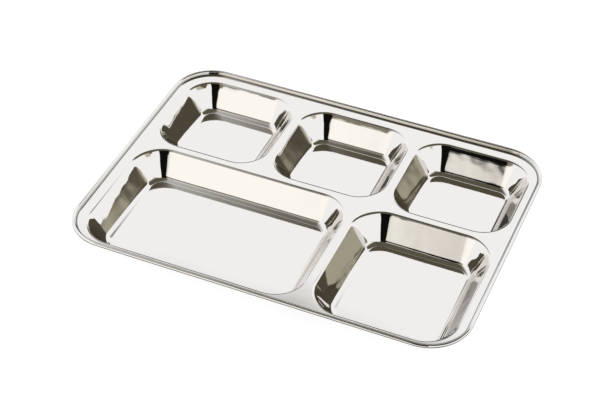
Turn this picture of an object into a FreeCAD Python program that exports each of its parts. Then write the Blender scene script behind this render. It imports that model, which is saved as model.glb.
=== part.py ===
"""Serving tray with five food wells, pressed from one sheet of polished stainless steel.

The deck is a flat web. Five wells are drawn down out of it, with rounded lips, sloping walls and
round bottom corners, and their floors stand on one plane. The block of wells sits a little to
the front right of the deck. Around the outside the sheet turns up into a low bead, a hollow
curled edge. Each formed region is a body of its own, and the regions meet face to face at
upright cuts through the flat of the deck.

Frame: origin on the resting plane under the middle of the tray, +X to the right along the
length, +Y to the back, +Z up. Millimetres and degrees.
"""

import FreeCAD, Part
import math
import os

import Sketcher
from FreeCAD import Vector

DIMENSIONS = {
    "tray_length": 356.8,  # overall, along X
    "tray_width": 257.4,  # overall, along Y
    "outer_radius": 38.0,  # corners of the tray's outline
    "gauge": 0.7,  # thickness of the sheet
    "left_margin": 13.1,  # tray's left edge in to the nearest lip
    "right_margin": 9.7,  # the same at the right
    "front_margin": 6.2,  # the same at the front
    "back_margin": 13.8,  # the same at the back
    "web": 5.0,  # flat left between two lips
    "front_row": 131.6,  # front wells, front to back
    "main_length": 203.6,  # main well, left to right
    "large_radius": 30.0,  # corners of the two front wells, at the lip
    "small_radius": 28.0,  # corners of the three back wells, at the lip
    "well_depth": 23.1,  # deck's upper face down to a well's floor
    "wall_angle": 58.0,  # a well's wall, up from level
    "lip_radius": 2.6,  # where the deck turns down into a well
    "floor_fillet": 6.8,  # where a well's wall turns into its floor
    "rim_foot": 4.4,  # tray's edge in to where the deck starts to turn up
    "rim_rise": 3.5,  # deck's upper face up to the top of the curl
    "crease_radius": 0.8,  # where the deck turns up into the rim
    "curl_radius": 1.7,  # outside of the curled edge
    "curl_end": 75.0,  # direction of the curl's raw edge from its centre, below level
}

# Expressions of the sheet's cells
DECK_TOP = "Dimensions.gauge + Dimensions.well_depth"
LEFT = "Dimensions.left_margin - Dimensions.tray_length / 2"
FRONT = "Dimensions.front_margin - Dimensions.tray_width / 2"
INSIDE_LENGTH = (
    "Dimensions.tray_length - Dimensions.left_margin - Dimensions.right_margin"
)
INSIDE_WIDTH = "Dimensions.tray_width - Dimensions.front_margin - Dimensions.back_margin"
BACK_LENGTH = f"({INSIDE_LENGTH} - 2 * Dimensions.web) / 3"
BACK_WIDTH = f"{INSIDE_WIDTH} - Dimensions.front_row - Dimensions.web"
BACK_FRONT = f"{FRONT} + Dimensions.front_row + Dimensions.web"
RIM_FOOT_LENGTH = "Dimensions.tray_length - 2 * Dimensions.rim_foot"
RIM_FOOT_WIDTH = "Dimensions.tray_width - 2 * Dimensions.rim_foot"
RIM_FOOT_RADIUS = "Dimensions.outer_radius - Dimensions.rim_foot"
CURL_LENGTH = "Dimensions.tray_length - 2 * Dimensions.curl_radius"
CURL_HEIGHT = "Dimensions.rim_rise - Dimensions.curl_radius"
# How far a well's flat floor starts inside its lip
FLOOR_INSET = (
    "Dimensions.well_depth / tan(Dimensions.wall_angle)"
    " + (Dimensions.lip_radius + Dimensions.floor_fillet) * tan(Dimensions.wall_angle / 2)"
)

START, END, CENTRE = 1, 2, 3  # the point of an edge that a constraint holds
X_AXIS = -1
ORIGIN = (-1, 1)


class Well:
    """The outline of a well at its lip, as expressions of the sheet's cells."""

    def __init__(self, name, left, length, front, width, radius):
        self.name = name
        self.length = length
        self.width = width
        self.radius = radius
        self.x = f"{left} + ({length}) / 2"
        self.y = f"{front} + ({width}) / 2"


def list_wells():
    """The two wells of the front row and the three equal ones of the back row."""
    main_length = "Dimensions.main_length"
    rest_length = f"{INSIDE_LENGTH} - {main_length} - Dimensions.web"
    rest_left = f"{LEFT} + {main_length} + Dimensions.web"
    front_row = (FRONT, "Dimensions.front_row", "Dimensions.large_radius")
    wells = [
        Well("main_well", LEFT, main_length, *front_row),
        Well("front_right_well", rest_left, rest_length, *front_row),
    ]
    for place, name in enumerate(("back_left_well", "back_middle_well", "back_right_well")):
        left = f"{LEFT} + {place} * ({BACK_LENGTH} + Dimensions.web)"
        back_row = (BACK_FRONT, BACK_WIDTH, "Dimensions.small_radius")
        wells.append(Well(name, left, BACK_LENGTH, *back_row))
    return wells


def make_sheet(doc):
    """The spreadsheet of driving dimensions."""
    sheet = doc.addObject("Spreadsheet::Sheet", "Dimensions")
    for row, (alias, number) in enumerate(DIMENSIONS.items(), start=1):
        sheet.set(f"A{row}", str(number))
        sheet.setAlias(f"A{row}", alias)
    doc.recompute()
    return sheet


doc = FreeCAD.newDocument("serving_tray")
sheet = make_sheet(doc)


def size(expression):
    """The number that an expression of the sheet's cells comes to."""
    return float(sheet.evalExpression(expression))


def new_body(name, x="0", y="0"):
    """An empty body, its label the sub-part's name, whose XY plane is the deck's upper face."""
    body = doc.addObject("PartDesign::Body", name)
    body.Label = name
    for axis, expression in (("x", x), ("y", y), ("z", DECK_TOP)):
        body.setExpression(f"Placement.Base.{axis}", expression)
    return body


def new_sketch(body, name, role):
    """A sketch on one of the body's own origin planes."""
    sketch = body.newObject("Sketcher::SketchObject", name)
    plane = next(f for f in body.Origin.OriginFeatures if f.Role == role)
    sketch.AttachmentSupport = [(plane, "")]
    sketch.MapMode = "FlatFace"
    return sketch


def hold(sketch, kind, *items):
    """Add a constraint of shape, such as Vertical or Tangent."""
    sketch.addConstraint(Sketcher.Constraint(kind, *items))


def drive(sketch, name, expression, kind, *items):
    """Add a constraint of size and bind it to the sheet."""
    number = size(expression)
    if kind == "Angle":
        number = math.radians(number)
    index = sketch.addConstraint(Sketcher.Constraint(kind, *items, number))
    sketch.renameConstraint(index, name)
    sketch.setExpression(f"Constraints.{name}", expression)


def arc(centre, radius, first, last):
    """An arc turning left from one direction to another, in degrees."""
    circle = Part.Circle(centre, Vector(0, 0, 1), radius)
    return Part.ArcOfCircle(circle, math.radians(first), math.radians(last))


def rounded_rectangle(sketch, length, width, radius, seam=False):
    """Draw a rectangle with round corners about the sketch's origin.

    With a seam, its left side is two edges that meet on the X axis, so that what is swept round
    it starts and ends there.
    """
    r = size(radius)
    x = size(length) / 2 - r
    y = size(width) / 2 - r
    corners = [
        arc(Vector(-x, -y, 0), r, 180, 270),
        arc(Vector(x, -y, 0), r, 270, 360),
        arc(Vector(x, y, 0), r, 0, 90),
        arc(Vector(-x, y, 0), r, 90, 180),
    ]
    point = Vector(-x - r, 0, 0) if seam else corners[-1].EndPoint
    edges = []
    for corner in corners:
        edges += [Part.LineSegment(point, corner.StartPoint), corner]
        point = corner.EndPoint
    if seam:
        edges.append(Part.LineSegment(point, edges[0].StartPoint))
    sketch.addGeometry(edges, False)

    for index in range(7):
        hold(sketch, "Tangent", index, END, index + 1, START)
    for index in (3, 5, 7):
        hold(sketch, "Equal", 1, index)
    for index in (0, 4):
        hold(sketch, "Vertical", index)
        hold(sketch, "Horizontal", index + 2)
    hold(sketch, "Symmetric", 1, CENTRE, 5, CENTRE, *ORIGIN)
    if seam:
        hold(sketch, "Tangent", 7, END, 8, START)
        hold(sketch, "Vertical", 8)
        hold(sketch, "Coincident", 8, END, 0, START)
        hold(sketch, "PointOnObject", 0, START, X_AXIS)
    else:
        hold(sketch, "Tangent", 7, END, 0, START)
    drive(sketch, "radius", radius, "Radius", 1)
    drive(sketch, "length", length, "DistanceX", 0, END, 4, START)
    drive(sketch, "width", width, "DistanceY", 2, START, 6, START)


def well_section(sketch, well):
    """Draw the sheet's section down a well's left wall, from the lip to the flat floor."""
    gauge, depth, lip, fillet, slope = (
        size(f"Dimensions.{name}")
        for name in ("gauge", "well_depth", "lip_radius", "floor_fillet", "wall_angle")
    )
    edge = Vector(-size(well.length) / 2, 0, 0)
    lip_centre = edge - Vector(0, lip, 0)
    floor_centre = edge + Vector(size(FLOOR_INSET), fillet - depth, 0)
    normal = 90 - slope
    upper_lip = arc(lip_centre, lip, normal, 90)
    lower_lip = arc(lip_centre, lip - gauge, normal, 90)
    upper_fillet = arc(floor_centre, fillet, normal + 180, 270)
    lower_fillet = arc(floor_centre, fillet + gauge, normal + 180, 270)
    sketch.addGeometry(
        [
            upper_lip,
            Part.LineSegment(upper_lip.StartPoint, upper_fillet.StartPoint),
            upper_fillet,
            Part.LineSegment(upper_fillet.EndPoint, lower_fillet.EndPoint),
            lower_fillet,
            Part.LineSegment(lower_fillet.StartPoint, lower_lip.StartPoint),
            lower_lip,
            Part.LineSegment(lower_lip.EndPoint, upper_lip.EndPoint),
        ],
        False,
    )
    hold(sketch, "Tangent", 0, START, 1, START)
    hold(sketch, "Tangent", 1, END, 2, START)
    hold(sketch, "Coincident", 2, END, 3, START)
    hold(sketch, "Coincident", 3, END, 4, END)
    hold(sketch, "Tangent", 4, START, 5, START)
    hold(sketch, "Tangent", 5, END, 6, START)
    hold(sketch, "Coincident", 6, END, 7, START)
    hold(sketch, "Coincident", 7, END, 0, END)
    hold(sketch, "Coincident", 0, CENTRE, 6, CENTRE)
    hold(sketch, "Coincident", 2, CENTRE, 4, CENTRE)
    for cut, centre_of in ((7, 0), (3, 2)):
        hold(sketch, "Vertical", cut)
        hold(sketch, "PointOnObject", centre_of, CENTRE, cut)
    hold(sketch, "PointOnObject", 0, END, X_AXIS)
    drive(sketch, "half_length", f"({well.length}) / 2", "DistanceX", 0, END, *ORIGIN)
    drive(sketch, "depth", "Dimensions.well_depth", "DistanceY", 2, END, 0, END)
    drive(sketch, "gauge", "Dimensions.gauge", "DistanceY", 7, START, 7, END)
    drive(sketch, "floor_gauge", "Dimensions.gauge", "DistanceY", 3, END, 3, START)
    drive(sketch, "lip", "Dimensions.lip_radius", "Radius", 0)
    drive(sketch, "fillet", "Dimensions.floor_fillet", "Radius", 2)
    drive(sketch, "inset", FLOOR_INSET, "DistanceX", 0, END, 2, END)


def rim_section(sketch):
    """Draw the sheet's section out through the left rim, from the deck to the curl's raw edge."""
    gauge, crease, curl, curl_end = (
        size(f"Dimensions.{name}")
        for name in ("gauge", "crease_radius", "curl_radius", "curl_end")
    )
    crease_centre = Vector(size(f"-({RIM_FOOT_LENGTH}) / 2"), crease, 0)
    curl_centre = Vector(size(f"-({CURL_LENGTH}) / 2"), size(CURL_HEIGHT), 0)
    span = crease_centre - curl_centre
    normal = math.degrees(math.atan2(span.y, span.x) + math.acos((crease + curl) / span.Length))
    upper_crease = arc(crease_centre, crease, normal + 180, 270)
    lower_crease = arc(crease_centre, crease + gauge, normal + 180, 270)
    outer_curl = arc(curl_centre, curl, normal, 360 - curl_end)
    inner_curl = arc(curl_centre, curl - gauge, normal, 360 - curl_end)
    sketch.addGeometry(
        [
            upper_crease,
            Part.LineSegment(upper_crease.StartPoint, outer_curl.StartPoint),
            outer_curl,
            Part.LineSegment(inner_curl.EndPoint, outer_curl.EndPoint),
            inner_curl,
            Part.LineSegment(inner_curl.StartPoint, lower_crease.StartPoint),
            lower_crease,
            Part.LineSegment(lower_crease.EndPoint, upper_crease.EndPoint),
        ],
        False,
    )
    hold(sketch, "Tangent", 0, START, 1, START)
    hold(sketch, "Tangent", 1, END, 2, START)
    hold(sketch, "Coincident", 2, END, 3, END)
    hold(sketch, "Coincident", 3, START, 4, END)
    hold(sketch, "Tangent", 4, START, 5, START)
    hold(sketch, "Tangent", 5, END, 6, START)
    hold(sketch, "Coincident", 6, END, 7, START)
    hold(sketch, "Coincident", 7, END, 0, END)
    hold(sketch, "Coincident", 0, CENTRE, 6, CENTRE)
    hold(sketch, "Coincident", 2, CENTRE, 4, CENTRE)
    hold(sketch, "Vertical", 7)
    hold(sketch, "PointOnObject", 0, CENTRE, 7)
    hold(sketch, "PointOnObject", 2, CENTRE, 3)
    hold(sketch, "PointOnObject", 0, END, X_AXIS)
    drive(sketch, "foot", f"({RIM_FOOT_LENGTH}) / 2", "DistanceX", 0, END, *ORIGIN)
    drive(sketch, "curl_out", f"({CURL_LENGTH}) / 2", "DistanceX", 2, CENTRE, *ORIGIN)
    drive(sketch, "curl_up", CURL_HEIGHT, "DistanceY", *ORIGIN, 2, CENTRE)
    drive(sketch, "gauge", "Dimensions.gauge", "DistanceY", 7, START, 7, END)
    drive(sketch, "edge_gauge", "Dimensions.gauge", "Distance", 3)
    drive(sketch, "crease", "Dimensions.crease_radius", "Radius", 0)
    drive(sketch, "curl", "Dimensions.curl_radius", "Radius", 2)
    drive(sketch, "raw_edge", "-Dimensions.curl_end", "Angle", 3)


def sweep(body, path, section):
    """Carry a section round a closed path."""
    pipe = body.newObject("PartDesign::AdditivePipe", "Sweep")
    pipe.Profile = section
    pipe.Spine = (path, [])
    doc.recompute()


def make_deck(wells):
    """The flat web: a plate with round corners and an opening at each well's lip."""
    body = new_body("deck")
    outline = new_sketch(body, "DeckOutline", "XY_Plane")
    rounded_rectangle(outline, RIM_FOOT_LENGTH, RIM_FOOT_WIDTH, RIM_FOOT_RADIUS)
    plate = body.newObject("PartDesign::Pad", "Plate")
    plate.Profile = outline
    plate.Reversed = True
    plate.setExpression("Length", "Dimensions.gauge")
    doc.recompute()
    for well in wells:
        before = body.Shape.Volume
        opening = new_sketch(body, f"Opening_{well.name}", "XY_Plane")
        opening.setExpression("AttachmentOffset.Base.x", well.x)
        opening.setExpression("AttachmentOffset.Base.y", well.y)
        rounded_rectangle(opening, well.length, well.width, well.radius)
        pocket = body.newObject("PartDesign::Pocket", f"Cut_{well.name}")
        pocket.Profile = opening
        pocket.setExpression("Length", "Dimensions.gauge")
        doc.recompute()
        if body.Shape.Volume > before - size(f"({well.length}) * ({well.width})") / 2:
            raise RuntimeError(f"the deck has no opening for {well.name}")
    return body


def make_well(well):
    """A well: its lip and wall swept round the lip's outline, and its flat floor."""
    body = new_body(well.name, well.x, well.y)
    path = new_sketch(body, "LipOutline", "XY_Plane")
    rounded_rectangle(path, well.length, well.width, well.radius, seam=True)
    section = new_sketch(body, "WallSection", "XZ_Plane")
    well_section(section, well)
    sweep(body, path, section)

    floor = new_sketch(body, "FloorOutline", "XY_Plane")
    floor.setExpression("AttachmentOffset.Base.z", f"-({DECK_TOP})")
    flat_length = f"{well.length} - 2 * ({FLOOR_INSET})"
    flat_width = f"{well.width} - 2 * ({FLOOR_INSET})"
    rounded_rectangle(floor, flat_length, flat_width, f"{well.radius} - ({FLOOR_INSET})")
    pad = body.newObject("PartDesign::Pad", "Floor")
    pad.Profile = floor
    pad.setExpression("Length", "Dimensions.gauge")
    return body


def make_rim():
    """The upturned rim and its curl, swept round the deck's outline."""
    body = new_body("rolled_rim")
    path = new_sketch(body, "DeckOutline", "XY_Plane")
    rounded_rectangle(path, RIM_FOOT_LENGTH, RIM_FOOT_WIDTH, RIM_FOOT_RADIUS, seam=True)
    section = new_sketch(body, "RimSection", "XZ_Plane")
    rim_section(section)
    sweep(body, path, section)
    return body


def check(bodies):
    """Stop if anything in the document failed, or a sub-part isn't one sound solid."""
    for item in doc.Objects:
        if {"Invalid", "Error"} & set(item.State):
            raise RuntimeError(f"{item.Label} failed: {item.State}")
    for item in doc.findObjects("Sketcher::SketchObject"):
        if not item.FullyConstrained:
            raise RuntimeError(f"{item.Label} isn't fully constrained")
    for body in bodies:
        shape = body.Shape
        if shape.isNull() or not shape.isValid() or len(shape.Solids) != 1:
            raise RuntimeError(f"{body.Label} isn't one sound solid")


def main():
    wells = list_wells()
    bodies = [make_deck(wells), make_rim()] + [make_well(well) for well in wells]
    doc.recompute()
    check(bodies)
    os.makedirs("parts", exist_ok=True)
    for body in bodies:
        body.Shape.exportStep(f"parts/{body.Label}.step")
        print(f"{body.Label}: {body.Shape.Volume:.0f} cubic millimetres")


main()
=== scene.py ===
"""Looks of a five-well serving tray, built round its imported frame.

The tray is one pressed sheet of mirror-polished stainless steel. Every region of the sheet is a
fine closed surface here, worked out from the frame's boxes and the press tool's radii, so that
the long soft reflections of the polished metal run on unbroken from one region to the next.
Metres throughout, in the frame's own axes: +X right, +Y back, +Z up.
"""

from __future__ import annotations

import logging
import math
from dataclasses import dataclass, field

import bpy
import numpy as np
from mathutils import Matrix, Vector
from mathutils.geometry import delaunay_2d_cdt


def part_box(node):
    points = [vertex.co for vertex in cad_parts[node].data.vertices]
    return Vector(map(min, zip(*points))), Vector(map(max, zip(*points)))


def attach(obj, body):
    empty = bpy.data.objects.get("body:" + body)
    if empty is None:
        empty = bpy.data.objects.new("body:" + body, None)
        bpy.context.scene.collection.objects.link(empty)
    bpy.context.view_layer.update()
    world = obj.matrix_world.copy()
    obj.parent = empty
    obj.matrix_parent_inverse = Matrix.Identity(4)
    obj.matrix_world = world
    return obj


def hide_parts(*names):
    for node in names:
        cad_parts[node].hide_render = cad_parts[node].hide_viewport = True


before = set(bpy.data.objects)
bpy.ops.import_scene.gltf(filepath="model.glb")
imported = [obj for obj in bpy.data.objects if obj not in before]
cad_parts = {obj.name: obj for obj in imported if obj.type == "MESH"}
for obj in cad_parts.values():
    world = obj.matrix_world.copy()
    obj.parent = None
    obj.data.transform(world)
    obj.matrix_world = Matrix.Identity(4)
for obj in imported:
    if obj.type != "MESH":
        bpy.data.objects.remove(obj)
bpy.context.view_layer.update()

log = logging.getLogger("serving_tray")

MM = 0.001
SHARP_ANGLE = 50.0  # degrees between two faces, past which their edge is sharp
BODY = "root"


# ---------------------------------------------------------------------------
# Surfaces
# ---------------------------------------------------------------------------


@dataclass(frozen=True)
class RoundedLoop:
    """A closed loop round a rectangle with round corners, run anticlockwise.

    Attributes:
        low: the rectangle's lowest corner, x and y.
        high: the rectangle's highest corner, x and y.
        radius: radius of the round corners.
        corner_steps: steps in each quarter turn.
        side_step: longest step along a straight side.
    """

    low: tuple[float, float]
    high: tuple[float, float]
    radius: float
    corner_steps: int = 32
    side_step: float = 4.5 * MM

    def points(self) -> tuple[np.ndarray, np.ndarray, np.ndarray]:
        """Points round the loop, their outward directions, and how far round a corner each is.

        A corner's points are its centre plus the radius times (cos a, sin a), for a over a
        quarter turn. A side's points are evenly spaced between the corners at its two ends.

        Returns:
            An (n, 2) array of points, an (n, 2) array of unit outward normals, and n weights
            that are 1 in the middle of a corner and fade to 0 at its ends and along the sides.
        """
        (x0, y0), (x1, y1), r = self.low, self.high, self.radius
        centres = np.array(
            [(x1 - r, y0 + r), (x1 - r, y1 - r), (x0 + r, y1 - r), (x0 + r, y0 + r)]
        )
        points, normals, weights = [], [], []
        for quarter, centre in enumerate(centres):
            share = np.arange(self.corner_steps + 1) / self.corner_steps
            angle = (quarter - 1 + share) * math.pi / 2
            out = np.stack([np.cos(angle), np.sin(angle)], axis=1)
            points.append(centre + r * out)
            normals.append(out)
            weights.append(np.sin(share * math.pi) ** 2)
            start = points[-1][-1]
            end = centres[(quarter + 1) % 4] + r * out[-1]
            steps = max(2, math.ceil(np.linalg.norm(end - start) / self.side_step))
            between = (np.arange(1, steps) / steps)[:, None]
            points.append(start + between * (end - start))
            normals.append(np.repeat(out[-1:], steps - 1, axis=0))
            weights.append(np.zeros(steps - 1))
        return np.concatenate(points), np.concatenate(normals), np.concatenate(weights)


def arc_points(
    centre: tuple[float, float], radius: float, first: float, last: float, steps: int
) -> np.ndarray:
    """Points of an arc: the centre plus the radius times (cos a, sin a).

    Args:
        centre: the arc's centre.
        radius: its radius.
        first: direction of its first point from the centre, in degrees.
        last: direction of its last point.
        steps: number of equal steps between them.

    Returns:
        A (steps + 1, 2) array.
    """
    angle = np.radians(np.linspace(first, last, steps + 1))
    return np.array(centre) + radius * np.stack([np.cos(angle), np.sin(angle)], axis=1)


def line_points(start: np.ndarray, end: np.ndarray, steps: int) -> np.ndarray:
    """Evenly spaced points strictly between two ends: start plus a share of the way to the end."""
    share = (np.arange(1, steps) / steps)[:, None]
    return start + share * (end - start)


def smooth_step(value: np.ndarray) -> np.ndarray:
    """Rise from 0 to 1 with level ends, 3 t^2 - 2 t^3, for values held between 0 and 1."""
    held = np.clip(value, 0.0, 1.0)
    return held * held * (3.0 - 2.0 * held)


def loft(name: str, sections: np.ndarray, closed: bool) -> bpy.types.Object:
    """Make a closed mesh from a grid of points, one row to each loop round the object.

    Face k of row j joins points (j, k), (j, k + 1), (j + 1, k + 1) and (j + 1, k), so a row whose
    successor lies to the left of its own direction gives faces that look to the near side.

    Args:
        name: name of the object.
        sections: an (rows, n, 3) array; each row is a loop of n points.
        closed: whether the last row joins the first. If not, the first and the last row each
            close on a pole, at the mean of their points.

    Returns:
        The object, at the origin, with its place in its mesh.
    """
    rows, count, _ = sections.shape
    points = sections.reshape(-1, 3)
    index = np.arange(rows * count).reshape(rows, count)
    after = np.roll(index, -1, axis=1)
    if closed:
        below, below_after = np.roll(index, -1, axis=0), np.roll(after, -1, axis=0)
        quads = np.stack([index, after, below_after, below], axis=-1).reshape(-1, 4)
        triangles = np.empty((0, 3), dtype=int)
    else:
        quads = np.stack([index[:-1], after[:-1], after[1:], index[1:]], axis=-1).reshape(-1, 4)
        poles = np.array([len(points), len(points) + 1])
        points = np.concatenate([points, sections[[0, -1]].mean(axis=1)])
        first = np.stack([after[0], index[0], np.full(count, poles[0])], axis=-1)
        last = np.stack([index[-1], after[-1], np.full(count, poles[1])], axis=-1)
        triangles = np.concatenate([first, last])
    mesh = bpy.data.meshes.new(name)
    mesh.from_pydata(points.tolist(), [], quads.tolist() + triangles.tolist())
    mesh.update()
    mesh.shade_smooth()
    piece = bpy.data.objects.new(name, mesh)
    bpy.context.scene.collection.objects.link(piece)
    return piece


def mark_sharp(mesh: bpy.types.Mesh, angle: float) -> None:
    """Mark as sharp each edge whose two faces turn by more than an angle, in degrees."""
    mesh.set_sharp_from_angle(angle=math.radians(angle))


def set_point_attribute(mesh: bpy.types.Mesh, name: str, values: np.ndarray) -> None:
    """Give every vertex of a mesh a number that its finish can read."""
    attribute = mesh.attributes.new(name, "FLOAT", "POINT")
    attribute.data.foreach_set("value", values.astype(np.float32).ravel())


@dataclass(frozen=True)
class SheetWaves:
    """The slight unevenness that pressing leaves in thin sheet: a sum of long shallow waves.

    Attributes:
        height: height of the waves together, root mean square.
        length: middle length of the waves.
        count: number of waves added up.
        seed: seed of their directions and phases.
    """

    height: float
    length: float
    count: int = 9
    seed: int = 5

    def lift(self, x: np.ndarray, y: np.ndarray) -> np.ndarray:
        """Height at each place: the sum over the waves of sin(k . (x, y) + phase), scaled.

        Args:
            x: places along X.
            y: places along Y, of the same shape.

        Returns:
            The heights, of the same shape.
        """
        chance = np.random.default_rng(self.seed)
        direction = chance.uniform(0.0, 2.0 * math.pi, self.count)
        number = 2.0 * math.pi / (self.length * chance.uniform(0.6, 1.6, self.count))
        phase = chance.uniform(0.0, 2.0 * math.pi, self.count)
        total = np.zeros_like(x)
        for angle, k, shift in zip(direction, number, phase):
            total = total + np.sin(k * (x * math.cos(angle) + y * math.sin(angle)) + shift)
        return total * self.height * math.sqrt(2.0 / self.count)


# ---------------------------------------------------------------------------
# Finishes
# ---------------------------------------------------------------------------


class Nodes:
    """A material's nodes, with short ways to add and join them."""

    def __init__(self, material: bpy.types.Material) -> None:
        """Take up the node tree of a material."""
        material.use_nodes = True
        self.tree = material.node_tree
        self.shader = self.tree.nodes["Principled BSDF"]

    def add(self, kind: str, **settings: object) -> bpy.types.Node:
        """Add a node of a kind and set its own properties."""
        node = self.tree.nodes.new(kind)
        for name, value in settings.items():
            setattr(node, name, value)
        return node

    def join(self, source: bpy.types.NodeSocket, target: bpy.types.NodeSocket) -> None:
        """Lead one socket into another."""
        self.tree.links.new(source, target)

    def noise(
        self, stretch: tuple[float, float, float], detail: float, seed: float
    ) -> bpy.types.NodeSocket:
        """Noise over the object, from 0 to 1.

        Args:
            stretch: number of noise cells in a metre along each axis.
            detail: how many finer layers it has.
            seed: where in the noise it starts.

        Returns:
            The socket that gives it.
        """
        place = self.add("ShaderNodeTexCoord")
        scale = self.add("ShaderNodeMapping")
        scale.inputs["Location"].default_value = (seed, seed * 0.7, seed * 1.3)
        scale.inputs["Scale"].default_value = stretch
        field_of_noise = self.add("ShaderNodeTexNoise")
        field_of_noise.inputs["Scale"].default_value = 1.0
        field_of_noise.inputs["Detail"].default_value = detail
        self.join(place.outputs["Object"], scale.inputs["Vector"])
        self.join(scale.outputs["Vector"], field_of_noise.inputs["Vector"])
        return field_of_noise.outputs["Fac"]

    def attribute(self, name: str) -> bpy.types.NodeSocket:
        """A number that the mesh carries at each of its points."""
        node = self.add("ShaderNodeAttribute", attribute_name=name)
        return node.outputs["Fac"]

    def combine(self, operation: str, *terms: bpy.types.NodeSocket | float) -> bpy.types.NodeSocket:
        """Arithmetic on sockets and constants."""
        node = self.add("ShaderNodeMath", operation=operation)
        for socket, term in zip(node.inputs, terms):
            if isinstance(term, bpy.types.NodeSocket):
                self.join(term, socket)
            else:
                socket.default_value = term
        return node.outputs["Value"]


@dataclass(frozen=True)
class MirrorSteel:
    """Stainless steel with a buffed mirror finish.

    Attributes:
        name: name of the material.
        tint: how much of each colour of light the metal throws back.
        painted_crease_shade: the same, where shade is painted as a dark line along the rim's crease.
        roughness: roughness of the cleanest metal.
        haze: how much rougher the wiped and handled areas are.
        draw_height: depth of the unevenness where the sheet was stretched over the tool.
        draw_length: its length.
        peel_height: depth of the orange peel that drawing leaves.
        peel_length: its length.
        scratch_height: depth of the buffing lines.
    """

    name: str
    tint: tuple[float, float, float] = (0.74, 0.715, 0.68)
    painted_crease_shade: tuple[float, float, float] = (0.10, 0.095, 0.085)
    roughness: float = 0.03
    haze: float = 0.07
    draw_height: float = 0.60 * MM
    draw_length: float = 19.0 * MM
    peel_height: float = 0.004 * MM
    peel_length: float = 3.0 * MM
    scratch_height: float = 0.0010 * MM

    def build(self) -> bpy.types.Material:
        """Make the material: clean metal, hazed by wiping, over draw marks, peel and buffing lines."""
        material = bpy.data.materials.new(self.name)
        nodes = Nodes(material)
        shader = nodes.shader
        shader.inputs["Metallic"].default_value = 1.0

        # Painted shade: where the mesh carries a high number for it, the base colour turns near black,
        # a dark line of shade painted along the rim's crease.
        colour = nodes.add("ShaderNodeMix", data_type="RGBA")
        colour.inputs["A"].default_value = (*self.tint, 1.0)
        colour.inputs["B"].default_value = (*self.painted_crease_shade, 1.0)
        nodes.join(nodes.attribute("painted_crease_shade"), colour.inputs["Factor"])
        nodes.join(colour.outputs["Result"], shader.inputs["Base Color"])

        wiped = nodes.combine("POWER", nodes.noise((28.0, 60.0, 40.0), 3.0, 2.0), 4.0)
        hazed = nodes.combine("MULTIPLY_ADD", wiped, self.haze, self.roughness)
        nodes.join(hazed, shader.inputs["Roughness"])

        stretched = nodes.combine(
            "MULTIPLY", nodes.noise((1.0 / self.draw_length,) * 3, 1.0, 5.0), nodes.attribute("drawn")
        )
        height = nodes.combine("MULTIPLY", stretched, self.draw_height)
        peel = nodes.noise((1.0 / self.peel_length,) * 3, 1.0, 9.0)
        height = nodes.combine("MULTIPLY_ADD", peel, self.peel_height, height)
        buffed = nodes.noise((40.0, 1400.0, 1400.0), 2.0, 0.0)
        height = nodes.combine("MULTIPLY_ADD", buffed, self.scratch_height, height)
        bump = nodes.add("ShaderNodeBump")
        bump.inputs["Strength"].default_value = 1.0
        bump.inputs["Distance"].default_value = 1.0
        nodes.join(height, bump.inputs["Height"])
        nodes.join(bump.outputs["Normal"], shader.inputs["Normal"])
        return material


# ---------------------------------------------------------------------------
# The sheet's regions
# ---------------------------------------------------------------------------


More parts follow.
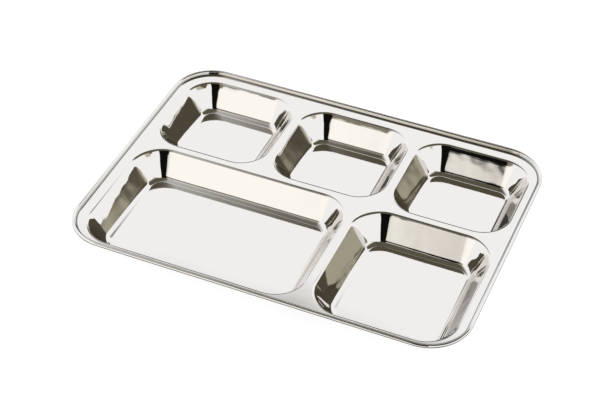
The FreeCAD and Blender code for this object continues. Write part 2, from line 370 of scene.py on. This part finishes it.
@dataclass
class FoodWell:
    """A food well: lip, sloping wall, round bottom and flat floor, as one closed skin of sheet.

    Attributes:
        node: the frame's node that it stands for.
        corner_radius: radius of its corners at the lip.
        lip_radius: where the deck turns down into it.
        floor_fillet: where its wall turns into its floor.
        wall_angle: its wall, up from level, in degrees.
        lip_steps: steps round the lip's section.
        wall_steps: steps down the wall.
        fillet_steps: steps round the bottom's section.
        drawn_side: how strong the draw marks are along the straight sides; 1 at the corners.
        drawn_fade: shares of the depth over which they fade in below the lip and out above the
            floor.
        floor_shares: how far towards the floor's middle each of its loops lies.
    """

    node: str
    corner_radius: float
    lip_radius: float = 2.6 * MM
    floor_fillet: float = 6.8 * MM
    wall_angle: float = 58.0
    lip_steps: int = 20
    wall_steps: int = 14
    fillet_steps: int = 28
    drawn_side: float = 0.35
    drawn_fade: tuple[float, float] = (0.2, 0.12)
    floor_shares: np.ndarray = field(
        default_factory=lambda: 1.0 - np.linspace(1.0, 0.0, 14)[:-1] ** 1.5
    )
    low: Vector = field(init=False)
    high: Vector = field(init=False)

    def __post_init__(self) -> None:
        """Take the well's place from the frame."""
        self.low, self.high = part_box(self.node)

    def outline(self) -> RoundedLoop:
        """The lip's outer edge, where the well's region of the sheet meets the deck's."""
        return RoundedLoop(tuple(self.low.xy), tuple(self.high.xy), self.corner_radius)

    def half_section(self, offset: float) -> np.ndarray:
        """One face of the sheet down the well's side, as inset from the lip and height.

        The lip is an arc about a centre below its edge, the bottom an arc about a centre above
        the floor, and the wall the straight line between them. The other face is the same with
        both arcs' radii changed by the sheet's thickness.

        Args:
            offset: how far the face lies under the upper one: 0 or the gauge.

        Returns:
            An (n, 2) array of insets and heights, from the lip to the flat floor.
        """
        lean = math.radians(self.wall_angle)
        depth = self.high.z - self.low.z - GAUGE
        run = depth / math.tan(lean) + (self.lip_radius + self.floor_fillet) * math.tan(lean / 2)
        lip_centre = (0.0, self.high.z - self.lip_radius)
        floor_centre = (run, self.high.z - depth + self.floor_fillet)
        normal = 90.0 - self.wall_angle
        lip = arc_points(lip_centre, self.lip_radius - offset, 90.0, normal, self.lip_steps)
        fillet = arc_points(
            floor_centre, self.floor_fillet + offset, 180.0 + normal, 270.0, self.fillet_steps
        )
        return np.concatenate([lip, line_points(lip[-1], fillet[0], self.wall_steps), fillet])

    def face(self, offset: float) -> np.ndarray:
        """One face of the well's sheet, as loops from the lip's edge to near its middle.

        Down the side, a loop is the outline less its inset times the outward direction. Over the
        floor, it is the floor's edge moved a share of the way to the floor's middle.

        Args:
            offset: how far the face lies under the upper one: 0 or the gauge.

        Returns:
            A (rows, n, 3) array of points.
        """
        points, outward, _ = self.outline().points()
        inset, height = self.half_section(offset).T
        side = points - inset[:, None, None] * outward
        middle = np.array((self.low + self.high).xy) / 2
        share = self.floor_shares[:, None, None]
        floor = side[-1] + share * (middle - side[-1])
        height = np.concatenate([height, np.full(len(share), height[-1])])
        flat = np.concatenate([side, floor])
        level = np.broadcast_to(height[:, None, None], (*flat.shape[:2], 1))
        return np.concatenate([flat, level], axis=2)

    def build(self, finish: bpy.types.Material) -> bpy.types.Object:
        """Make the well in place of the frame's node.

        Args:
            finish: the steel's material.

        Returns:
            The well, riding on the tray.
        """
        sections = np.concatenate([self.face(GAUGE)[::-1], self.face(0.0)])
        sections[..., 2] += WAVES.lift(sections[..., 0], sections[..., 1])
        piece = loft(f"{self.node}_skin", sections, closed=False)
        below = (self.high.z - sections[..., 2]) / (self.high.z - self.low.z - GAUGE)
        corner = self.outline().points()[2]
        lip_fade, floor_fade = self.drawn_fade
        on_side = smooth_step(below / lip_fade) * smooth_step((1.0 - below) / floor_fade)
        drawn = on_side * (self.drawn_side + (1.0 - self.drawn_side) * corner)
        set_point_attribute(piece.data, "drawn", np.append(drawn.ravel(), [0.0, 0.0]))
        return stand_in(piece, self.node, finish)


@dataclass
class RolledRim:
    """The upturned rim and its hollow curl, as one ring of sheet.

    Attributes:
        node: the frame's node that it stands for.
        outer_radius: corner radius of the tray's outline.
        foot: from the tray's edge in to where the deck starts to turn up.
        crease_radius: where the deck turns up.
        curl_radius: outside of the curl.
        curl_end: direction of the raw edge from the curl's centre, below level, in degrees.
        crease_steps: steps round the crease's section.
        face_steps: steps up the rim's face.
        curl_steps: steps round the curl's section.
        painted_shade_place: middle of the dark line of painted shade in the crease, out and up from
            the foot.
        painted_shade_reach: how far from there the painted shade has thinned to about a third.
        painted_shade_cover: how much of the metal the painted shade hides in its middle.
    """

    node: str = "rolled_rim"
    outer_radius: float = 38.0 * MM
    foot: float = 4.4 * MM
    crease_radius: float = 0.8 * MM
    curl_radius: float = 1.7 * MM
    curl_end: float = 75.0
    crease_steps: int = 12
    face_steps: int = 6
    curl_steps: int = 44
    painted_shade_place: tuple[float, float] = (0.35 * MM, 0.35 * MM)
    painted_shade_reach: float = 0.75 * MM
    painted_shade_cover: float = 0.95
    low: Vector = field(init=False)
    high: Vector = field(init=False)

    def __post_init__(self) -> None:
        """Take the rim's place from the frame."""
        self.low, self.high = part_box(self.node)

    def half_section(self, offset: float) -> np.ndarray:
        """One face of the sheet out through the rim, as inset from the tray's edge and height.

        The crease is an arc about a centre above the deck, the curl an arc about a centre inside
        the tray's edge, and the rim's face the straight line that touches both from opposite
        sides: it stands off their centres' line by the angle whose cosine is the radii's sum
        over the centres' distance.

        Args:
            offset: how far the face lies under the upper one: 0 or the gauge.

        Returns:
            An (n, 2) array of insets and heights, from the deck to the raw edge.
        """
        deck_top = self.low.z + GAUGE
        crease_centre = np.array([self.foot, deck_top + self.crease_radius])
        curl_centre = np.array([self.curl_radius, self.high.z - self.curl_radius])
        span = crease_centre - curl_centre
        reach = (self.crease_radius + self.curl_radius) / np.linalg.norm(span)
        normal = math.degrees(math.atan2(span[1], span[0]) + math.acos(reach))
        crease = arc_points(
            crease_centre, self.crease_radius + offset, 270.0, 180.0 + normal, self.crease_steps
        )
        curl = arc_points(
            curl_centre, self.curl_radius - offset, normal, 360.0 - self.curl_end, self.curl_steps
        )
        return np.concatenate([crease, line_points(crease[-1], curl[0], self.face_steps), curl])

    def build(self, finish: bpy.types.Material) -> bpy.types.Object:
        """Make the rim in place of the frame's node.

        Args:
            finish: the steel's material.

        Returns:
            The rim, riding on the tray.
        """
        loop = RoundedLoop(
            tuple(self.low.xy + Vector((self.foot, self.foot))),
            tuple(self.high.xy - Vector((self.foot, self.foot))),
            self.outer_radius - self.foot,
        )
        points, outward, _ = loop.points()
        inset, height = np.concatenate([self.half_section(GAUGE), self.half_section(0.0)[::-1]]).T
        flat = points + (self.foot - inset)[:, None, None] * outward
        level = np.broadcast_to(height[:, None, None], (*flat.shape[:2], 1))
        sections = np.concatenate([flat, level], axis=2)
        sections[..., 2] += WAVES.lift(sections[..., 0], sections[..., 1])
        piece = loft(f"{self.node}_skin", sections, closed=True)
        # Painted shade: a dark line along the crease at the rim's foot, strongest at one place in the
        # section and fading with distance from it.
        out, up = self.painted_shade_place
        away = np.hypot(inset - (self.foot - out), height - (self.low.z + GAUGE + up))
        painted_crease_shade = np.exp(-((away / self.painted_shade_reach) ** 2)) * self.painted_shade_cover
        set_point_attribute(piece.data, "painted_crease_shade", np.repeat(painted_crease_shade, len(points)))
        return stand_in(piece, self.node, finish)


@dataclass
class Deck:
    """The flat web between the wells and the rim.

    Attributes:
        wells: the wells that open in it.
        rim: the rim round it.
        node: the frame's node that it stands for.
    """

    wells: list[FoodWell]
    rim: RolledRim
    node: str = "deck"

    def build(self, finish: bpy.types.Material) -> bpy.types.Object:
        """Make the deck in place of the frame's node.

        Its outline and openings are the same loops that the rim and the wells start from, and
        the sheet between them is filled with triangles.

        Args:
            finish: the steel's material.

        Returns:
            The deck, riding on the tray.
        """
        low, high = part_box(self.node)
        radius = self.rim.outer_radius - self.rim.foot
        loops = [RoundedLoop(tuple(low.xy), tuple(high.xy), radius).points()[0]]
        loops += [well.outline().points()[0] for well in self.wells]
        points = np.concatenate(loops)
        starts = np.cumsum([0] + [len(loop) for loop in loops])
        edges = []
        for start, loop in zip(starts, loops):
            around = start + np.arange(len(loop))
            edges += np.stack([around, np.roll(around, -1)], axis=1).tolist()
        filled = delaunay_2d_cdt([Vector(p) for p in points], edges, [], 0, 1e-7)
        flat, triangles = np.array([tuple(p) for p in filled[0]]), np.array(filled[2])
        middle = flat[triangles].mean(axis=1)
        inside = inside_loop(middle, loops[0])
        for loop in loops[1:]:
            inside &= ~inside_loop(middle, loop)
        triangles = triangles[inside]
        count = len(flat)
        level = WAVES.lift(flat[:, 0], flat[:, 1])[:, None]
        top = np.concatenate([flat, level + high.z], axis=1)
        bottom = np.concatenate([flat, level + low.z], axis=1)
        sides = []
        for start, loop in zip(starts, loops):
            around = start + np.arange(len(loop))
            after = np.roll(around, -1)
            if start == 0:
                around, after = after, around
            sides.append(np.stack([around, after, after + count, around + count], axis=1))
        faces = triangles.tolist() + (triangles[:, ::-1] + count).tolist()
        faces += np.concatenate(sides).tolist()
        mesh = bpy.data.meshes.new(f"{self.node}_skin")
        mesh.from_pydata(np.concatenate([top, bottom]).tolist(), [], faces)
        mesh.update()
        mesh.shade_smooth()
        piece = bpy.data.objects.new(mesh.name, mesh)
        bpy.context.scene.collection.objects.link(piece)
        return stand_in(piece, self.node, finish)


def inside_loop(places: np.ndarray, loop: np.ndarray) -> np.ndarray:
    """Which places lie inside a closed loop: those with an odd number of its edges to their right.

    Args:
        places: an (m, 2) array of places.
        loop: an (n, 2) array of the loop's points.

    Returns:
        m truth values.
    """
    x, y = places[:, 0, None], places[:, 1, None]
    (x0, y0), (x1, y1) = loop.T, np.roll(loop, -1, axis=0).T
    spans = (y0 > y) != (y1 > y)
    rise = np.where(y1 == y0, 1.0, y1 - y0)
    crossing = x0 + (y - y0) * (x1 - x0) / rise
    return (spans & (x < crossing)).sum(axis=1) % 2 == 1


def stand_in(piece: bpy.types.Object, node: str, finish: bpy.types.Material) -> bpy.types.Object:
    """Dress a piece, let it ride on the tray and stand for a node of the frame.

    Args:
        piece: the new piece.
        node: the node that it replaces.
        finish: its material.

    Returns:
        The piece.
    """
    piece.data.materials.append(finish)
    mark_sharp(piece.data, SHARP_ANGLE)
    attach(piece, BODY)
    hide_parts(node)
    log.info("%s: %d faces", piece.name, len(piece.data.polygons))
    return piece


# ---------------------------------------------------------------------------
# Studio
# ---------------------------------------------------------------------------


@dataclass(frozen=True)
class Viewpoint:
    """Where the tray is seen from.

    Attributes:
        azimuth: round from the front to the right, in degrees.
        elevation: above level, in degrees.
        roll: of the camera about its own line of sight, in degrees.
        distance: from the camera to the point that it looks at.
        target: that point, relative to the middle of the deck.
        lens: focal length on a sensor 36 mm wide.
    """

    azimuth: float = 23.476
    elevation: float = 42.095
    roll: float = 0.0
    distance: float = 1.3061
    target: tuple[float, float] = (-6.89 * MM, -7.36 * MM)
    lens: float = 90.9

    def build(self, deck_height: float) -> bpy.types.Object:
        """Make the camera.

        Args:
            deck_height: height of the deck's upper face.

        Returns:
            The camera, which the scene now looks through.
        """
        azimuth, elevation = math.radians(self.azimuth), math.radians(self.elevation)
        back = Vector(
            (
                math.sin(azimuth) * math.cos(elevation),
                -math.cos(azimuth) * math.cos(elevation),
                math.sin(elevation),
            )
        )
        data = bpy.data.cameras.new("camera")
        data.lens = self.lens
        data.sensor_width = 36.0
        data.clip_start, data.clip_end = 0.05, 50.0
        camera = bpy.data.objects.new("camera", data)
        lean = Matrix.Rotation(math.radians(self.roll), 3, "Z").to_quaternion()
        aim = (-back).to_track_quat("-Z", "Y") @ lean
        camera.rotation_mode = "QUATERNION"
        camera.rotation_quaternion = aim
        camera.location = Vector((*self.target, deck_height)) + back * self.distance
        bpy.context.scene.collection.objects.link(camera)
        bpy.context.scene.camera = camera
        return camera


@dataclass(frozen=True)
class Paint:
    """The evenly glowing face of a studio card.

    Attributes:
        name: name of the material.
        colour: the light that it gives, red, green and blue.
        strength: how much of it.
    """

    name: str
    colour: tuple[float, float, float]
    strength: float

    def build(self) -> bpy.types.Material:
        """Make the face: it glows where the card's cover is 1 and is clear where it is 0."""
        material = bpy.data.materials.new(self.name)
        material.use_nodes = True
        nodes, links = material.node_tree.nodes, material.node_tree.links
        nodes.clear()
        cover = nodes.new("ShaderNodeAttribute")
        cover.attribute_name = "cover"
        clear = nodes.new("ShaderNodeBsdfTransparent")
        glow = nodes.new("ShaderNodeEmission")
        glow.inputs["Color"].default_value = (*self.colour, 1.0)
        glow.inputs["Strength"].default_value = self.strength
        mix = nodes.new("ShaderNodeMixShader")
        output = nodes.new("ShaderNodeOutputMaterial")
        links.new(cover.outputs["Fac"], mix.inputs[0])
        links.new(clear.outputs["BSDF"], mix.inputs[1])
        links.new(glow.outputs["Emission"], mix.inputs[2])
        links.new(mix.outputs["Shader"], output.inputs["Surface"])
        return material


@dataclass(frozen=True)
class StudioCard:
    """A flat card that stands round the tray and is seen only in its polish.

    Attributes:
        name: name of the card.
        corners: its corners, in turn: low left, low right, high right and high left.
        paint: its face.
        fade: share of its width or height over which it fades at its left, right, low and high
            edges.
        steps: steps along each side.
    """

    name: str
    corners: tuple[tuple[float, float, float], ...]
    paint: Paint
    fade: tuple[float, float, float, float] = (0.02, 0.02, 0.02, 0.02)
    steps: int = 48

    def build(self) -> bpy.types.Object:
        """Make the card: each point is the mean of the corners, weighed by how near it is to each.

        The cover is the product of four rises, one in from each edge.

        Returns:
            The card, which only gloss sees.
        """
        share = np.linspace(0.0, 1.0, self.steps + 1)
        across, up = np.meshgrid(share, share)
        u, v = across[..., None], up[..., None]
        corner = np.array(self.corners)
        low_edge = (1 - u) * corner[0] + u * corner[1]
        high_edge = (1 - u) * corner[3] + u * corner[2]
        points = (1 - v) * low_edge + v * high_edge
        left, right, low, high = self.fade
        cover = smooth_step(across / left) * smooth_step((1 - across) / right)
        cover = cover * smooth_step(up / low) * smooth_step((1 - up) / high)
        index = np.arange(points.shape[0] * points.shape[1]).reshape(points.shape[:2])
        quads = np.stack([index[:-1, :-1], index[:-1, 1:], index[1:, 1:], index[1:, :-1]], axis=-1)
        mesh = bpy.data.meshes.new(self.name)
        mesh.from_pydata(points.reshape(-1, 3).tolist(), [], quads.reshape(-1, 4).tolist())
        mesh.update()
        set_point_attribute(mesh, "cover", cover)
        mesh.materials.append(self.paint.build())
        card = bpy.data.objects.new(self.name, mesh)
        bpy.context.scene.collection.objects.link(card)
        card.visible_camera = False
        card.visible_diffuse = False
        card.visible_transmission = False
        card.visible_volume_scatter = False
        card.visible_shadow = False
        return card


@dataclass(frozen=True)
class Studio:
    """A pale light table in a white room, with cards round it that only gloss sees.

    A dark ceiling, an olive front wall, a black opening and a cream board stand in front and
    above; a pale olive strip is at the right, a grey cloth behind, and a grey shade lies under
    the tray in place of the shadow that the lit table hides.

    Attributes:
        room: the white room's light, red, green and blue.
        floor_albedo: how much light the table throws back.
        floor_glow: how much it gives from below.
        floor_reach: half of its side.
    """

    room: tuple[float, float, float] = (1.18, 1.195, 1.23)
    floor_albedo: float = 0.30
    floor_glow: float = 0.85
    floor_reach: float = 4.0

    def build_room(self) -> None:
        """Make the room's even light."""
        world = bpy.data.worlds.new("white_room")
        world.use_nodes = True
        background = world.node_tree.nodes["Background"]
        background.inputs["Color"].default_value = (*self.room, 1.0)
        background.inputs["Strength"].default_value = 1.0
        bpy.context.scene.world = world

    def build_floor(self) -> bpy.types.Object:
        """Make the table's top, level with the tray's lowest point."""
        reach = self.floor_reach
        corners = [
            (-reach, -reach, 0.0), (reach, -reach, 0.0), (reach, reach, 0.0), (-reach, reach, 0.0)
        ]
        mesh = bpy.data.meshes.new("light_table")
        mesh.from_pydata(corners, [], [(0, 1, 2, 3)])
        material = bpy.data.materials.new("lit_acrylic")
        material.use_nodes = True
        shader = material.node_tree.nodes["Principled BSDF"]
        shader.inputs["Base Color"].default_value = (*[self.floor_albedo] * 3, 1.0)
        shader.inputs["Roughness"].default_value = 0.8
        shader.inputs["Specular IOR Level"].default_value = 0.0
        shader.inputs["Emission Color"].default_value = (1.0, 1.0, 1.0, 1.0)
        shader.inputs["Emission Strength"].default_value = self.floor_glow
        mesh.materials.append(material)
        floor = bpy.data.objects.new("light_table", mesh)
        bpy.context.scene.collection.objects.link(floor)
        return floor

    def build_cards(self) -> None:
        """Stand the cards round the tray."""
        dark = Paint("dark_ceiling", (1.0, 0.93, 0.66), 0.12)
        pale_olive = Paint("pale_olive_strip", (1.0, 0.97, 0.80), 0.62)
        olive = Paint("olive_wall", (1.0, 0.9, 0.68), 0.28)
        black = Paint("black_cloth", (1.0, 1.0, 1.0), 0.006)
        cream = Paint("cream_board", (1.0, 0.995, 0.965), 1.30)
        buff = Paint("buff_board", (1.0, 0.97, 0.9), 0.86)
        grey = Paint("grey_cloth", (1.0, 1.0, 1.0), 0.06)
        shade = Paint("grey_shade", (1.0, 1.0, 1.0), 0.12)
        cards = [
            StudioCard(
                "ceiling",
                ((-0.95, -0.85, 1.0), (1.3, -0.85, 1.0), (1.3, 0.8, 1.0), (-0.95, 0.8, 1.0)),
                dark,
                (0.33, 0.10, 0.02, 0.08),
            ),
            StudioCard(
                "side_strip",
                ((1.0, -0.85, 1.03), (1.7, -0.85, 0.97), (1.7, 0.8, 0.97), (1.0, 0.8, 1.03)),
                pale_olive,
                (0.02, 0.2, 0.05, 0.1),
            ),
            StudioCard(
                "front_wall",
                ((-1.3, -1.75, 0.5), (-0.2, -1.75, 0.3), (-0.2, -1.75, 1.9), (-1.3, -1.75, 1.9)),
                olive,
                (0.1, 0.02, 0.1, 0.02),
            ),
            StudioCard(
                "opening",
                ((-0.4, -1.7, 0.2), (0.86, -1.7, 0.2), (0.86, -1.7, 3.0), (-0.4, -1.7, 3.0)),
                black,
            ),
            StudioCard(
                "board",
                ((-0.75, -0.8, 0.0), (-0.13, -1.6, 0.0), (-0.13, -1.6, 0.76), (-0.75, -0.8, 0.56)),
                cream,
                (0.05, 0.5, 0.02, 0.06),
            ),
            StudioCard(
                "board_end",
                (
                    (-0.45, -1.2, 0.0),
                    (-0.125, -1.62, 0.0),
                    (-0.125, -1.62, 0.74),
                    (-0.45, -1.2, 0.66),
                ),
                buff,
                (0.2, 0.02, 0.02, 0.06),
            ),
            StudioCard(
                "back_cloth",
                ((0.1, 2.5, 0.1), (-1.75, 1.7, 0.1), (-1.75, 1.7, 1.55), (0.1, 2.5, 1.75)),
                grey,
                (0.25, 0.3, 0.1, 0.08),
            ),
            StudioCard(
                "shade",
                (
                    (-0.24, -0.19, 0.0005),
                    (0.24, -0.19, 0.0005),
                    (0.24, 0.19, 0.0005),
                    (-0.24, 0.19, 0.0005),
                ),
                shade,
                (0.08, 0.08, 0.1, 0.1),
            ),
        ]
        for card in cards:
            card.build()

    def build(self) -> None:
        """Make the room, the table and the cards."""
        self.build_room()
        self.build_floor()
        self.build_cards()


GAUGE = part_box("deck")[1].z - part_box("deck")[0].z
WAVES = SheetWaves(height=0.06 * MM, length=70.0 * MM)


def main() -> None:
    """Build the tray and its studio."""
    logging.basicConfig(level=logging.INFO, format="%(message)s")
    steel = MirrorSteel("mirror_steel").build()
    rim = RolledRim()
    wells = [
        FoodWell("main_well", 30.0 * MM),
        FoodWell("front_right_well", 30.0 * MM),
        FoodWell("back_left_well", 28.0 * MM),
        FoodWell("back_middle_well", 28.0 * MM),
        FoodWell("back_right_well", 28.0 * MM),
    ]
    for well in wells:
        well.build(steel)
    rim.build(steel)
    Deck(wells, rim).build(steel)
    Viewpoint().build(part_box("deck")[1].z)
    Studio().build()
    bpy.context.scene.view_settings.view_transform = "Standard"


if __name__ == "__main__":
    main()
